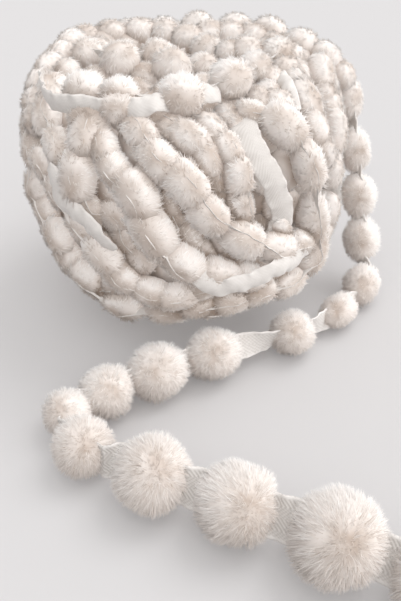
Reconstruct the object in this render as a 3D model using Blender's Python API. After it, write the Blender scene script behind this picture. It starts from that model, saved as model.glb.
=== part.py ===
"""Pompom fringe trim: a wound ball of the trim and its loose end, laid in one long bend.

The trim is a woven tape that runs through a row of plush pompoms. Most of it is wound into a
ball, which is one solid of its wound form. The last stretch leaves the top of the ball on the
right, hangs down beside it, and lies on the surface in front: there the tape and every pompom
are solids of their own.

Metres, +Z up, the front is -Y. The origin is the middle of the ball's flat spot.
"""
import math
from collections import namedtuple

import bmesh
import bpy
import numpy as np
from mathutils import Matrix, Vector

MM = 0.001

# The ball: where the pompoms of its outer turns have their centres
WAIST_REACH = 93 * MM       # from the axis, at the waist
WAIST_HEIGHT = 93 * MM
CROWN_RISE = 62 * MM        # from the waist up to the crown
BASE_DROP = 80 * MM         # from the waist down to the underside
CROWN_POWER = 0.5           # below 1 is squarer than an ellipse
BASE_POWER = 0.8
MIDDLE = Vector((0, 0, 85 * MM))

# The pompoms of the wound turns, pressed slimmer than the loose ones
WOUND_RADIUS = 12 * MM
LEAST_NECK = 0.6                # of a pompom's radius: the strand between two of them, at least
WOUND_PITCH = 26 * MM
CORE_DEPTH = 17 * MM            # the mass under the outer turns, below their centres
CORE_FOOT = 2 * MM              # how far it would reach below the surface: it makes the flat spot
BALL_GRID = 22                  # cells along each side of the cube that the ball starts as
BALL_SOFTENING = 0.2            # how far each pass draws a point to the mean of its neighbours
SOFTENING_PASSES = 2

# The loose end
TAPE_THICKNESS = 1.6 * MM
GAP = 0.3 * MM                  # between pieces that touch
SLOT_GAP = 0.4 * MM             # round the tape inside a pompom
DENT_GAP = 1.5 * MM             # round a loose pompom that leans on the ball
FLOOR_SINK = 1.0 * MM           # a loose pompom is pressed flat by this much
POMPOM_SEGMENTS = 10
POMPOM_RINGS = 7
TAIL_LENGTH = 14 * MM           # of bare tape past the first and the last pompom

CREAM = (0.84, 0.80, 0.75, 1.0)
TAPE_WHITE = (0.90, 0.89, 0.87, 1.0)

# The strands of the winding that show from the front. Each pompom is its azimuth, latitude,
# lift and width, in degrees and millimetres: azimuth 0 is the front and 90 the right, and lift
# is how far out of the outer turns it lies. Long is how many times longer than wide they are.
Strand = namedtuple("Strand", "name long pompoms")
STRANDS = (
    Strand("crown_front", 1.1, ((-48, 62, 11, 25), (-30, 67, 11, 23), (1, 71, 11, 27),
                                 (35, 77, 11, 27), (67, 78, 9, 21), (99, 70, 8, 23))),
    Strand("crown_twist", 1.25, ((-40, 50, 6, 20), (-27, 60, 9, 20), (-12, 62, 3, 20))),
    Strand("left_shoulder", 1.15, ((-70, 27, 3, 22), (-80, 31, 4, 22), (-90, 37, 5, 22),
                                   (-97, 46, 7, 22), (-106, 51, 8, 22), (-115, 54, 10, 23))),
    Strand("crown_mid", 1.05, ((-91, 57, 3, 20), (-105, 67, 6, 23), (-86, 82, 7, 26),
                               (-120, 88, 5, 23), (-25, 89, 6, 26), (89, 89, 2, 20),
                               (149, 85, 3, 22), (114, 84, 5, 19), (107, 80, 6, 24),
                               (98, 68, 5, 22))),
    Strand("crown_low", 1.1, ((-86, 70, -3, 20), (-75, 86, -3, 23), (-60, 83, -7, 20),
                               (-20, 84, -6, 20), (30, 86, -4, 22), (90, 82, -5, 22))),
    Strand("crown_pit", 1.1, ((-104, 52, -6, 22), (-95, 74, -9, 22), (60, 88, -10, 22),
                               (84, 80, -8, 20))),
    Strand("rim_back", 1.12, ((-124, 55, 9, 22), (-136, 63, 8, 22), (-150, 70, 7, 22),
                              (-166, 76, 6, 22), (176, 81, 5, 21), (160, 76, 6, 21),
                              (146, 72, 6, 22), (134, 66, 6, 23), (122, 60, 5, 22))),
    Strand("rim_out", 1.1, ((-128, 42, 7, 22), (-150, 52, 6, 22), (-168, 60, 5, 22),
                             (172, 64, 7, 24), (150, 62, 8, 24), (132, 57, 10, 26),
                             (112, 52, 11, 25), (104, 41, 13, 23), (100, 26, 15, 20))),
    Strand("right_in", 1.15, ((72, 69, 1, 20), (56, 66, 1, 19), (45, 65, 2, 18),
                              (51, 57, 2, 21))),
    Strand("right_a", 1.5, ((74, 58, 3, 19), (64, 48, 4, 22), (58, 31, 4, 19),
                             (59, 15, 4, 18), (66, 3, 5, 21), (68, -6, 6, 21),
                             (66, -17, 6, 22), (62, -30, 5, 22))),
    Strand("right_b", 1.4, ((92, 44, 7, 22), (88, 36, 3, 19), (84, 25, 3, 18),
                             (77, 13, 4, 19), (76, 0, 2, 20), (77, -14, 1, 22),
                             (80, -30, 1, 22))),
    Strand("right_c", 1.35, ((101, 30, 4, 23), (97, 14, 3, 23), (92, 0, 2, 23),
                             (92, -15, 2, 23), (92, -32, 2, 23))),
    Strand("front_f", 1.4, ((35, 58, 2, 17), (43, 42, 4, 25), (49, 13, 4, 23),
                             (54, -3, 5, 24), (55, -18, 10, 25), (44, -27, 12, 22),
                             (29, -25, 9, 22), (18, -27, 9, 23), (5, -27, 9, 21))),
    Strand("front_e", 1.45, ((26, 62, -2, 16), (27, 52, -2, 15), (28, 33, -4, 15),
                             (31, 14, -5, 15), (35, 2, -4, 15), (38, -1, 1, 15),
                             (44, -14, 0, 20), (40, -26, 2, 20))),
    Strand("front_d", 1.45, ((-10, 63, 0, 18), (-5, 57, 1, 18), (4, 48, 2, 20), (10, 34, 0, 18),
                             (12, 22, -4, 17))),
    Strand("front_d2", 1.45, ((14, 54, 0, 18), (18, 38, 1, 18), (20, 21, 1, 20),
                              (21, 5, -2, 20), (27, -4, -6, 20))),
    Strand("front_c", 1.42, ((-28, 60, 3, 18), (-16, 50, 3, 21), (-7, 32, 3, 23),
                             (2, 19, 3, 25), (9, 5, 4, 25), (21, 0, 5, 26), (35, -6, 5, 23),
                             (47, -9, 6, 19), (55, -14, 3, 19))),
    Strand("front_b", 1.45, ((-38, 52, 2, 18), (-29, 36, 2, 19), (-22, 22, 3, 20),
                             (-14, 12, 4, 25), (-9, 1, 5, 28), (1, -5, 5, 26),
                             (13, -11, 5, 23), (24, -17, 5, 22))),
    Strand("front_a", 1.5, ((-57, 9, 3, 18), (-48, 3, 3, 18), (-38, -1, 3, 16),
                             (-28, -6, 5, 23), (-22, -14, 6, 22), (-11, -20, 7, 21),
                             (-2, -21, 8, 21), (8, -19, 3, 21))),
    Strand("left_c", 1.4, ((-46, 60, 1, 20), (-37, 42, 3, 26), (-37, 14, 3, 25),
                            (-33, 2, 1, 18), (-26, 1, -4, 18), (-22, -3, -5, 18),
                            (-16, -10, -4, 18))),
    Strand("left_b", 1.45, ((-78, 46, 2, 22), (-66, 34, 2, 22), (-50, 24, 2, 20),
                            (-45, 14, 1, 17), (-42, 6, 0, 17))),
    Strand("left_a", 1.42, ((-90, 22, 2, 22), (-78, 16, 2, 21), (-70, 9, 3, 20), (-69, 0, 4, 21),
                            (-64, -5, 3, 20), (-53, -10, 5, 21), (-50, -18, 5, 20),
                            (-40, -24, 7, 20), (-26, -36, 9, 26), (-6, -32, 8, 25),
                            (12, -30, 7, 25), (30, -32, 6, 24), (46, -34, 5, 23))),
    Strand("left_low", 1.4, ((-100, 6, 1, 22), (-88, -4, 1, 22), (-78, -10, 2, 21),
                              (-66, -18, 3, 21), (-54, -26, 5, 21), (-38, -31, 7, 21),
                              (-28, -26, 2, 20))),
    Strand("under_a", 1.35, ((-98, -22, 2, 23), (-84, -30, 2, 23), (-68, -36, 2, 23),
                             (-50, -42, 1, 22), (-30, -48, 0, 22), (-8, -50, 0, 22),
                             (15, -48, 0, 22), (38, -46, 0, 22), (60, -42, 1, 22))),
    Strand("inner_a", 1.35, ((-80, 9, -6, 20), (-60, 20, -6, 20), (-46, 34, -6, 20))),
    Strand("inner_b", 1.35, ((2, 36, -7, 20), (9, 26, -7, 20), (13, 8, -8, 20),
                             (18, -4, -7, 20), (20, -15, -7, 22), (32, -20, -6, 22))),
    Strand("inner_c", 1.35, ((-4, 5, -7, 20), (2, -1, -7, 20), (8, -8, -7, 20))),
    Strand("back_cross", 1.3, ((103, -24, 6, 24), (112, -14, 8, 24), (122, -5, 10, 24),
                                (134, 4, 10, 24), (148, 13, 10, 24), (163, 21, 10, 24),
                                (180, 28, 9, 24), (198, 34, 9, 24), (216, 41, 9, 24),
                                (236, 47, 8, 24))),
)

# Bundles of like turns round the back. Each turn runs through the latitudes of TURN_LATITUDES
# and drifts sideways by the bundle's slant on the way.
Bundle = namedtuple("Bundle", "first_azimuth turns step slant lift long")
BUNDLES = (
    Bundle(first_azimuth=107, turns=4, step=16, slant=40, lift=4, long=1.35),
    Bundle(first_azimuth=150, turns=6, step=16, slant=-12, lift=0, long=1.4),
    Bundle(first_azimuth=236, turns=3, step=15, slant=44, lift=3, long=1.35),
)
TURN_LATITUDES = (62, 42, 20, 0, -18, -34, -46)
TURN_LIFTS = (-2, 0, 0, 0, 0, 0, -2)

# The loose end, from the ball to its far end: the pompoms' centres and diameters, the tape's
# width there and the direction across the tape, all in millimetres, and how many times longer
# than wide the pompom is
Loose = namedtuple("Loose", "x y z size tape across long")
LOOSE_END = (
    Loose(110, 27, 124, 21, 14, (0.3, -1.0, 0.4), 1.25),
    Loose(116, 11, 95, 22, 14, (0.2, -1.0, 0.2), 1.30),
    Loose(121, 1, 65, 26, 15, (0.2, -1.0, 0.2), 1.12),
    Loose(125, -8, 35, 28, 15, (0.3, -0.9, 0.4), 1.05),
    Loose(124, -34, 14, 27, 15, (0.3, 0.0, 1.0), 1.05),
    Loose(104, -60, 12, 24, 15, (-0.2, 0.3, 1.0), 1.15),
    Loose(70, -85, 15, 32, 16, (0.0, -0.2, 1.0), 1.00),
    Loose(19, -107, 17, 36, 17, (0.0, 0.6, 0.8), 1.05),
    Loose(-15, -122, 17, 38, 17, (0.0, 0.3, 1.0), 1.05),
    Loose(-44, -137, 16, 35, 17, (0.0, 0.1, 1.0), 1.03),
    Loose(-65, -153, 15, 31, 18, (0.0, 0.0, 1.0), 1.00),
    Loose(-53, -178, 17, 36, 20, (0.1, 0.2, 1.0), 1.00),
    Loose(-14, -199, 21, 44, 23, (0.0, 0.5, 0.9), 1.00),
    Loose(29, -217, 22, 45, 24, (0.0, 0.6, 0.8), 1.00),
    Loose(75, -238, 24, 49, 25, (0.0, 0.6, 0.8), 1.00),
    Loose(120, -260, 24, 49, 25, (0.0, 0.6, 0.8), 1.00),
)


def clear_scene():
    for obj in list(bpy.data.objects):
        bpy.data.objects.remove(obj, do_unlink=True)


def cloth_material(name, colour, roughness):
    material = bpy.data.materials.new(name)
    material.use_nodes = True
    shader = material.node_tree.nodes["Principled BSDF"]
    shader.inputs["Base Color"].default_value = colour
    shader.inputs["Roughness"].default_value = roughness
    shader.inputs["Metallic"].default_value = 0.0
    return material


def add_part(name, mesh_builder, material, collection):
    """Make an object from a bmesh, with its triangles pointing out, and free the bmesh."""
    bmesh.ops.triangulate(mesh_builder, faces=mesh_builder.faces)
    bmesh.ops.recalc_face_normals(mesh_builder, faces=mesh_builder.faces)
    mesh = bpy.data.meshes.new(name)
    mesh_builder.to_mesh(mesh)
    mesh_builder.free()
    mesh.shade_smooth()
    mesh.materials.append(material)
    obj = bpy.data.objects.new(name, mesh)
    collection.objects.link(obj)
    return obj


# ---------------------------------------------------------------- the winding

def turn_point(azimuth, latitude, lift):
    """A pompom's centre on the ball, from its azimuth and latitude in degrees, lift in mm."""
    turn = math.radians(azimuth)
    rise = math.radians(latitude)
    power = CROWN_POWER if latitude >= 0 else BASE_POWER
    height = CROWN_RISE if latitude >= 0 else BASE_DROP
    reach = (WAIST_REACH + lift * MM) * math.cos(rise) ** power
    z = math.copysign((height + lift * MM) * abs(math.sin(rise)) ** power, latitude)
    z = max(WAIST_HEIGHT + z, WOUND_RADIUS - FLOOR_SINK)
    return Vector((reach * math.sin(turn), -reach * math.cos(turn), z))


def bundle_paths():
    """The like turns round the back: how long their pompoms are, and each one's path. Every
    second one lies 2 mm higher."""
    for bundle in BUNDLES:
        for turn in range(bundle.turns):
            azimuth = bundle.first_azimuth + turn * bundle.step
            steps = len(TURN_LATITUDES) - 1
            yield bundle.long, [(azimuth + bundle.slant * (index / steps - 0.5), latitude,
                                 bundle.lift + TURN_LIFTS[index] + (turn % 2) * 2)
                                for index, latitude in enumerate(TURN_LATITUDES)]


def smooth_route(points, steps=12):
    """Points along a smooth curve through the given points."""
    first = points[0] * 2 - points[1]
    last = points[-1] * 2 - points[-2]
    ends = [first, *points, last]
    route = []
    for a, b, c, d in zip(ends, ends[1:], ends[2:], ends[3:]):
        for step in range(steps):
            t = step / steps
            route.append(0.5 * (2 * b + (c - a) * t + (2 * a - 5 * b + 4 * c - d) * t * t
                                + (3 * b - a - 3 * c + d) * t ** 3))
    route.append(points[-1])
    return route


def spaced(route, pitch):
    """Evenly spaced points along a route, about a pitch apart, from its first to its last."""
    places = np.array([tuple(point) for point in route])
    runs = np.linalg.norm(np.diff(places, axis=0), axis=1)
    travel = np.concatenate(([0.0], np.cumsum(runs)))
    count = max(1, round(travel[-1] / pitch))
    wanted = np.linspace(0.0, travel[-1], count + 1)
    return np.stack([np.interp(wanted, travel, places[:, axis]) for axis in range(3)], axis=1)


def neck_radius(radius, long, gap):
    """How thick a strand is half way between two pompoms, which run into each other."""
    share = min(gap / 2 / (radius * long), 1.0)
    return radius * max((1 - share ** (2 * long)) ** (0.5 / long), LEAST_NECK)


def winding_balls():
    """Centres and radii of the spheres that stand for the outer turns: one for each pompom and
    one for the neck between two of them."""
    turns = [(strand.long, [turn_point(*pompom[:3]) for pompom in strand.pompoms],
              [pompom[3] * MM / 2 for pompom in strand.pompoms]) for strand in STRANDS]
    for long, path in bundle_paths():
        places = spaced(smooth_route([turn_point(*place) for place in path]), WOUND_PITCH)
        turns.append((long, list(places), [WOUND_RADIUS] * len(places)))
    centres = []
    radii = []
    for long, places, sizes in turns:
        centres.extend(places)
        radii.extend(sizes)
        for place, beyond, size, following in zip(places, places[1:], sizes, sizes[1:]):
            centres.append((place + beyond) / 2)
            radii.append(neck_radius((size + following) / 2, long, math.dist(place, beyond)))
    return np.array(centres), np.array(radii)


def core_reach(direction):
    """How far the mass under the outer turns reaches from the middle, along a direction."""
    near, far = 0.0, WAIST_REACH * 1.5
    for _ in range(24):
        reach = (near + far) / 2
        point = MIDDLE + direction * reach
        above = point.z - WAIST_HEIGHT
        power = CROWN_POWER if above >= 0 else BASE_POWER
        height = CROWN_RISE - CORE_DEPTH if above >= 0 else WAIST_HEIGHT + CORE_FOOT
        across = math.hypot(point.x, point.y) / (WAIST_REACH - CORE_DEPTH)
        inside = across ** (2 / power) + (abs(above) / height) ** (2 / power) < 1
        near, far = (reach, far) if inside else (near, reach)
    return near


def winding_reach(direction, centres, radii):
    """How far the outer turns reach from the middle, along a direction."""
    offsets = centres - np.array(MIDDLE)
    along = offsets @ np.array(direction)
    under = radii ** 2 - np.sum(offsets ** 2, axis=1) + along ** 2
    met = under > 0
    reaches = along[met] + np.sqrt(under[met])
    return max(core_reach(direction), *reaches) if met.any() else core_reach(direction)


def leaned_on(direction, reach, frames):
    """The reach, held back where a loose pompom leans on the ball and dents it."""
    for centre, radius, *_ in frames:
        offset = centre - MIDDLE
        along = offset.dot(direction)
        under = (radius + DENT_GAP) ** 2 - offset.length_squared + along ** 2
        if under > 0 and along > 0:
            reach = min(reach, along - math.sqrt(under))
    return reach


def make_wound_ball(frames, material, collection):
    builder = bmesh.new()
    bmesh.ops.create_cube(builder, size=2.0)
    bmesh.ops.subdivide_edges(builder, edges=builder.edges, cuts=BALL_GRID - 1,
                              use_grid_fill=True)
    centres, radii = winding_balls()
    reaches = {}
    for vert in builder.verts:
        # equal steps of angle, not of distance, keep the grid even over the sphere
        vert.co = Vector([math.tan(value * math.pi / 4) for value in vert.co]).normalized()
        reaches[vert] = winding_reach(vert.co, centres, radii)
    for _ in range(SOFTENING_PASSES):
        means = {vert: sum(reaches[edge.other_vert(vert)] for edge in vert.link_edges)
                 / len(vert.link_edges) for vert in builder.verts}
        for vert, mean in means.items():
            reaches[vert] += (mean - reaches[vert]) * BALL_SOFTENING
    for vert, reach in reaches.items():
        direction = vert.co.copy()
        reach = leaned_on(direction, reach, frames)
        if direction.z < 0:
            reach = min(reach, MIDDLE.z / -direction.z)
        vert.co = MIDDLE + direction * reach
        vert.co.z = max(vert.co.z, 0.0)
    return add_part("wound_ball", builder, material, collection)


# ---------------------------------------------------------------- the loose end

def loose_frames():
    """For each loose pompom: its centre, radius, the way along the tape and the way across."""
    centres = [Vector((row.x, row.y, row.z)) * MM for row in LOOSE_END]
    frames = []
    for index, row in enumerate(LOOSE_END):
        before = centres[max(index - 1, 0)]
        after = centres[min(index + 1, len(centres) - 1)]
        along = (after - before).normalized()
        across = Vector(row.across)
        across = (across - along * across.dot(along)).normalized()
        frames.append((centres[index], row.size * MM / 2, along, across, row.tape * MM))
    return frames


def tape_sections(frames):
    """Sections of the tape: straight through each pompom, and a bare tail at each end."""
    sections = []
    for index, (centre, radius, along, across, width) in enumerate(frames):
        reach_in = reach_out = radius * LOOSE_END[index].long
        if index > 0:
            reach_in = min(reach_in, (centre - frames[index - 1][0]).length * 0.42)
        if index < len(frames) - 1:
            reach_out = min(reach_out, (frames[index + 1][0] - centre).length * 0.42)
        if index == 0:
            reach_in += 2 * MM
        if index == len(frames) - 1:
            reach_out += TAIL_LENGTH
        for reach in (-reach_in, 0.0, reach_out):
            sections.append((centre + along * reach, along, across, width))
    return sections


def make_tape(name, frames, clearance, material, collection):
    """The tape as one ribbon through all its sections, larger all round by a clearance."""
    builder = bmesh.new()
    rings = []
    for place, along, across, width in tape_sections(frames):
        half = across * (width / 2 + clearance)
        face = along.cross(across) * (TAPE_THICKNESS / 2 + clearance)
        rings.append([builder.verts.new(place + corner)
                      for corner in (half + face, half - face, -half - face, -half + face)])
    for ring, following in zip(rings, rings[1:]):
        for corner in range(4):
            beside = (corner + 1) % 4
            builder.faces.new((ring[corner], ring[beside], following[beside],
                               following[corner]))
    builder.faces.new(reversed(rings[0]))
    builder.faces.new(rings[-1])
    return add_part(name, builder, material, collection)


def press_flat(builder, plane_point, outward):
    """Press what reaches past a plane back onto it."""
    for vert in builder.verts:
        past = (vert.co - plane_point).dot(outward)
        if past > 0:
            vert.co -= outward * past


def make_pompom(index, frames, slot, material, collection):
    centre, radius, along, across, _ = frames[index]
    turn = Matrix((across, along.cross(across), along)).transposed().to_4x4()
    stretch = Matrix.Diagonal((1, 1, LOOSE_END[index].long, 1))
    builder = bmesh.new()
    bmesh.ops.create_uvsphere(builder, u_segments=POMPOM_SEGMENTS, v_segments=POMPOM_RINGS,
                              radius=radius, matrix=Matrix.Translation(centre) @ turn @ stretch)
    for other in (index - 1, index + 1):
        if 0 <= other < len(frames):
            step = frames[other][0] - centre
            share = step.length * radius / (radius + frames[other][1]) - GAP / 2
            press_flat(builder, centre + step.normalized() * share, step.normalized())
    press_flat(builder, Vector((0, 0, 0)), Vector((0, 0, -1)))
    pompom = add_part(f"pompom_{index + 1:02d}", builder, material, collection)
    cut = pompom.modifiers.new("tape_slot", "BOOLEAN")
    cut.operation = "DIFFERENCE"
    cut.object = slot
    return pompom


def main():
    clear_scene()
    trim = bpy.data.collections.new("pompom_trim")
    cutters = bpy.data.collections.new("cutters")
    bpy.context.scene.collection.children.link(trim)
    bpy.context.scene.collection.children.link(cutters)
    plush = cloth_material("plush_cream", CREAM, 0.95)
    weave = cloth_material("tape_white", TAPE_WHITE, 0.85)
    frames = loose_frames()
    make_wound_ball(frames, plush, trim)
    make_tape("tape_end", frames, 0.0, weave, trim)
    slot = make_tape("tape_slot", frames, SLOT_GAP, weave, cutters)
    slot.hide_render = True
    slot.display_type = "WIRE"
    for index in range(len(frames)):
        make_pompom(index, frames, slot, plush, trim)


main()
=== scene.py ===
"""Looks of the pompom fringe trim: cream plush pompoms on a white woven tape.

Most of the trim is wound into a ball. Its last stretch hangs down on the right and lies in one
long bend in front. Metres, +Z up, the front is -Y.
"""
import math
from collections import namedtuple

import bpy
import numpy as np
from bpy.props import FloatProperty, FloatVectorProperty, IntProperty, PointerProperty
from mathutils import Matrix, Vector


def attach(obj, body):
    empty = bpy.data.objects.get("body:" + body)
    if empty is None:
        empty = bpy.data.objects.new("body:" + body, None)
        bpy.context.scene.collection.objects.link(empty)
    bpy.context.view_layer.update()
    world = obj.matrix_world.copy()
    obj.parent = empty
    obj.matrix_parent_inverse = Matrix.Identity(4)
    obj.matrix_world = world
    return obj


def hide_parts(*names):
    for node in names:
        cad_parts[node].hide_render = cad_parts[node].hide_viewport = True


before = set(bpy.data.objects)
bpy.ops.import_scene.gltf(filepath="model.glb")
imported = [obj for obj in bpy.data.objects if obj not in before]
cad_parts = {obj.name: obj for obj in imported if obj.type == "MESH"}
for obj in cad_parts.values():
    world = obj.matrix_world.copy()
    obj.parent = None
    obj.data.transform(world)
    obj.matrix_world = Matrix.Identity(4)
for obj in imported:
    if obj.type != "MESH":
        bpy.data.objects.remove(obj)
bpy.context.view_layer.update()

bl_info = {
    "name": "Pompom trim dresser",
    "version": (1, 0, 0),
    "blender": (4, 5, 0),
    "location": "3D View > Sidebar > Pompom trim",
    "description": "Dresses a wound ball of pompom trim and its loose end in plush and tape",
    "category": "Object",
}

MM = 0.001
# The plush map's height goes from root to tip and is lowered where shade is painted into the pile,
# so it also carries painted shade.
PILE_MAP = "OFBake"     # the map on the plush: tone from left to right, root to tip from below
TAPE_MAP = "tape_map"   # the map on the tape: metres across and along it
# The relief also sets the tape's colour: it is painted darker between the ribs, as painted shade
# in the grooves, and darker on the wound tape, as painted shade deep in the ball.
RELIEF = "relief"       # the tape's own attribute: 0 between its ribs, 1 on top of them
BALL_NODE = "wound_ball"

# ---------------------------------------------------------------- the winding's own sizes

WAIST_REACH = 93 * MM       # from the axis to the outer turns' centres, at the waist
WAIST_HEIGHT = 93 * MM
CROWN_RISE = 62 * MM
BASE_DROP = 80 * MM
CROWN_POWER = 0.5           # below 1 is squarer than an ellipse
BASE_POWER = 0.8
MIDDLE = np.array((0, 0, 85)) * MM
STEEPNESS = (1.35, 1.05)    # how far outwards turns upwards above the middle, and below it
LOWEST_TURN = 11 * MM       # the height of the lowest pompoms' centres
WOUND_PITCH = 26 * MM
WOUND_WIDTH = 24 * MM
TAPE_THICKNESS = 1.6 * MM
TAIL_LENGTH = 14 * MM       # of bare tape past the first and the last loose pompom

# The strands of the winding that show from the front. Each pompom is its azimuth, latitude,
# lift and width, in degrees and millimetres: azimuth 0 is the front and 90 the right, and lift
# is how far out of the outer turns it lies. Long is how many times longer than wide they are,
# and seam is how far round the strand from outwards, in degrees, the pile parts at the tape.
Strand = namedtuple("Strand", "name long seam pompoms")
STRANDS = (
    Strand("crown_front", 1.1, -35, (
        (-48, 62, 11, 25), (-30, 67, 11, 23), (1, 71, 11, 27), (35, 77, 11, 27),
        (67, 78, 9, 21), (99, 70, 8, 23))),
    Strand("crown_twist", 1.25, -20, (
        (-40, 50, 6, 20), (-27, 60, 9, 20), (-12, 62, 3, 20))),
    Strand("left_shoulder", 1.15, 20, (
        (-70, 27, 3, 22), (-80, 31, 4, 22), (-90, 37, 5, 22), (-97, 46, 7, 22),
        (-106, 51, 8, 22), (-115, 54, 10, 23))),
    Strand("crown_mid", 1.05, -20, (
        (-91, 57, 3, 20), (-105, 67, 6, 23), (-86, 82, 7, 26), (-120, 88, 5, 23),
        (-25, 89, 6, 26), (89, 89, 2, 20), (149, 85, 3, 22), (114, 84, 5, 19),
        (107, 80, 6, 24), (98, 68, 5, 22))),
    Strand("crown_low", 1.1, 0, (
        (-86, 70, -3, 20), (-75, 86, -3, 23), (-60, 83, -7, 20), (-20, 84, -6, 20),
        (30, 86, -4, 22), (90, 82, -5, 22))),
    Strand("crown_pit", 1.1, 0, (
        (-104, 52, -6, 22), (-95, 74, -9, 22), (60, 88, -10, 22), (84, 80, -8, 20))),
    Strand("rim_back", 1.12, -15, (
        (-124, 55, 9, 22), (-136, 63, 8, 22), (-150, 70, 7, 22), (-166, 76, 6, 22),
        (176, 81, 5, 21), (160, 76, 6, 21), (146, 72, 6, 22), (134, 66, 6, 23),
        (122, 60, 5, 22))),
    Strand("rim_out", 1.1, 10, (
        (-128, 42, 7, 22), (-150, 52, 6, 22), (-168, 60, 5, 22), (172, 64, 7, 24),
        (150, 62, 8, 24), (132, 57, 10, 26), (112, 52, 11, 25), (104, 41, 13, 23),
        (100, 26, 15, 20))),
    Strand("right_in", 1.15, 15, (
        (72, 69, 1, 20), (56, 66, 1, 19), (45, 65, 2, 18), (51, 57, 2, 21))),
    Strand("right_a", 1.5, 20, (
        (74, 58, 3, 19), (64, 48, 4, 22), (58, 31, 4, 19), (59, 15, 4, 18), (66, 3, 5, 21),
        (68, -6, 6, 21), (66, -17, 6, 22), (62, -30, 5, 22))),
    Strand("right_b", 1.4, 10, (
        (92, 44, 7, 22), (88, 36, 3, 19), (84, 25, 3, 18), (77, 13, 4, 19), (76, 0, 2, 20),
        (77, -14, 1, 22), (80, -30, 1, 22))),
    Strand("right_c", 1.35, 15, (
        (101, 30, 4, 23), (97, 14, 3, 23), (92, 0, 2, 23), (92, -15, 2, 23), (92, -32, 2, 23))),
    Strand("front_f", 1.4, -25, (
        (35, 58, 2, 17), (43, 42, 4, 25), (49, 13, 4, 23), (54, -3, 5, 24), (55, -18, 10, 25),
        (44, -27, 12, 22), (29, -25, 9, 22), (18, -27, 9, 23), (5, -27, 9, 21))),
    Strand("front_e", 1.45, 25, (
        (26, 62, -2, 16), (27, 52, -2, 15), (28, 33, -4, 15), (31, 14, -5, 15),
        (35, 2, -4, 15), (38, -1, 1, 15), (44, -14, 0, 20), (40, -26, 2, 20))),
    Strand("front_d", 1.45, 15, (
        (-10, 63, 0, 18), (-5, 57, 1, 18), (4, 48, 2, 20), (10, 34, 0, 18), (12, 22, -4, 17))),
    Strand("front_d2", 1.45, 30, (
        (14, 54, 0, 18), (18, 38, 1, 18), (20, 21, 1, 20), (21, 5, -2, 20), (27, -4, -6, 20))),
    Strand("front_c", 1.42, 10, (
        (-28, 60, 3, 18), (-16, 50, 3, 21), (-7, 32, 3, 23), (2, 19, 3, 25), (9, 5, 4, 25),
        (21, 0, 5, 26), (35, -6, 5, 23), (47, -9, 6, 19), (55, -14, 3, 19))),
    Strand("front_b", 1.45, -12, (
        (-38, 52, 2, 18), (-29, 36, 2, 19), (-22, 22, 3, 20), (-14, 12, 4, 25), (-9, 1, 5, 28),
        (1, -5, 5, 26), (13, -11, 5, 23), (24, -17, 5, 22))),
    Strand("front_a", 1.5, 20, (
        (-57, 9, 3, 18), (-48, 3, 3, 18), (-38, -1, 3, 16), (-28, -6, 5, 23),
        (-22, -14, 6, 22), (-11, -20, 7, 21), (-2, -21, 8, 21), (8, -19, 3, 21))),
    Strand("left_c", 1.4, 25, (
        (-46, 60, 1, 20), (-37, 42, 3, 26), (-37, 14, 3, 25), (-33, 2, 1, 18),
        (-26, 1, -4, 18), (-22, -3, -5, 18), (-16, -10, -4, 18))),
    Strand("left_b", 1.45, 30, (
        (-78, 46, 2, 22), (-66, 34, 2, 22), (-50, 24, 2, 20), (-45, 14, 1, 17), (-42, 6, 0, 17))),
    Strand("left_a", 1.42, 15, (
        (-90, 22, 2, 22), (-78, 16, 2, 21), (-70, 9, 3, 20), (-69, 0, 4, 21), (-64, -5, 3, 20),
        (-53, -10, 5, 21), (-50, -18, 5, 20), (-40, -24, 7, 20), (-26, -36, 9, 26),
        (-6, -32, 8, 25), (12, -30, 7, 25), (30, -32, 6, 24), (46, -34, 5, 23))),
    Strand("left_low", 1.4, 20, (
        (-100, 6, 1, 22), (-88, -4, 1, 22), (-78, -10, 2, 21), (-66, -18, 3, 21),
        (-54, -26, 5, 21), (-38, -31, 7, 21), (-28, -26, 2, 20))),
    Strand("under_a", 1.35, 10, (
        (-98, -22, 2, 23), (-84, -30, 2, 23), (-68, -36, 2, 23), (-50, -42, 1, 22),
        (-30, -48, 0, 22), (-8, -50, 0, 22), (15, -48, 0, 22), (38, -46, 0, 22),
        (60, -42, 1, 22))),
    Strand("inner_a", 1.35, 0, (
        (-80, 9, -6, 20), (-60, 20, -6, 20), (-46, 34, -6, 20))),
    Strand("inner_b", 1.35, 0, (
        (2, 36, -7, 20), (9, 26, -7, 20), (13, 8, -8, 20), (18, -4, -7, 20), (20, -15, -7, 22),
        (32, -20, -6, 22))),
    Strand("inner_c", 1.35, 0, (
        (-4, 5, -7, 20), (2, -1, -7, 20), (8, -8, -7, 20))),
    Strand("back_cross", 1.3, 15, (
        (103, -24, 6, 24), (112, -14, 8, 24), (122, -5, 10, 24), (134, 4, 10, 24),
        (148, 13, 10, 24), (163, 21, 10, 24), (180, 28, 9, 24), (198, 34, 9, 24),
        (216, 41, 9, 24), (236, 47, 8, 24))),
)

# Bundles of like turns round the back, which drift sideways by their slant on the way down
Bundle = namedtuple("Bundle", "first_azimuth turns step slant lift long seam")
BUNDLES = (
    Bundle(first_azimuth=107, turns=4, step=16, slant=40, lift=4, long=1.35, seam=15),
    Bundle(first_azimuth=150, turns=6, step=16, slant=-12, lift=0, long=1.4, seam=-15),
    Bundle(first_azimuth=236, turns=3, step=15, slant=44, lift=3, long=1.35, seam=10),
)
TURN_LATITUDES = (62, 42, 20, 0, -18, -34, -46)
TURN_LIFTS = (-2, 0, 0, 0, 0, 0, -2)

# One turn of the winding as it is made: its strand's values, and its pompoms' centres and widths
Turn = namedtuple("Turn", "name long seam centres widths")

# The turns under the outer ones, which show in the gaps
INNER_TURNS = 22
INNER_SLANT = 24            # degrees of azimuth that one drifts on the way down
INNER_LIFT = -12
INNER_LATITUDES = (78, 60, 40, 20, 0, -18, -34, -48)
INNER_LONG = 1.35
STAGGER = 13                # millimetres, within which one turn starts later than the next

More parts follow.
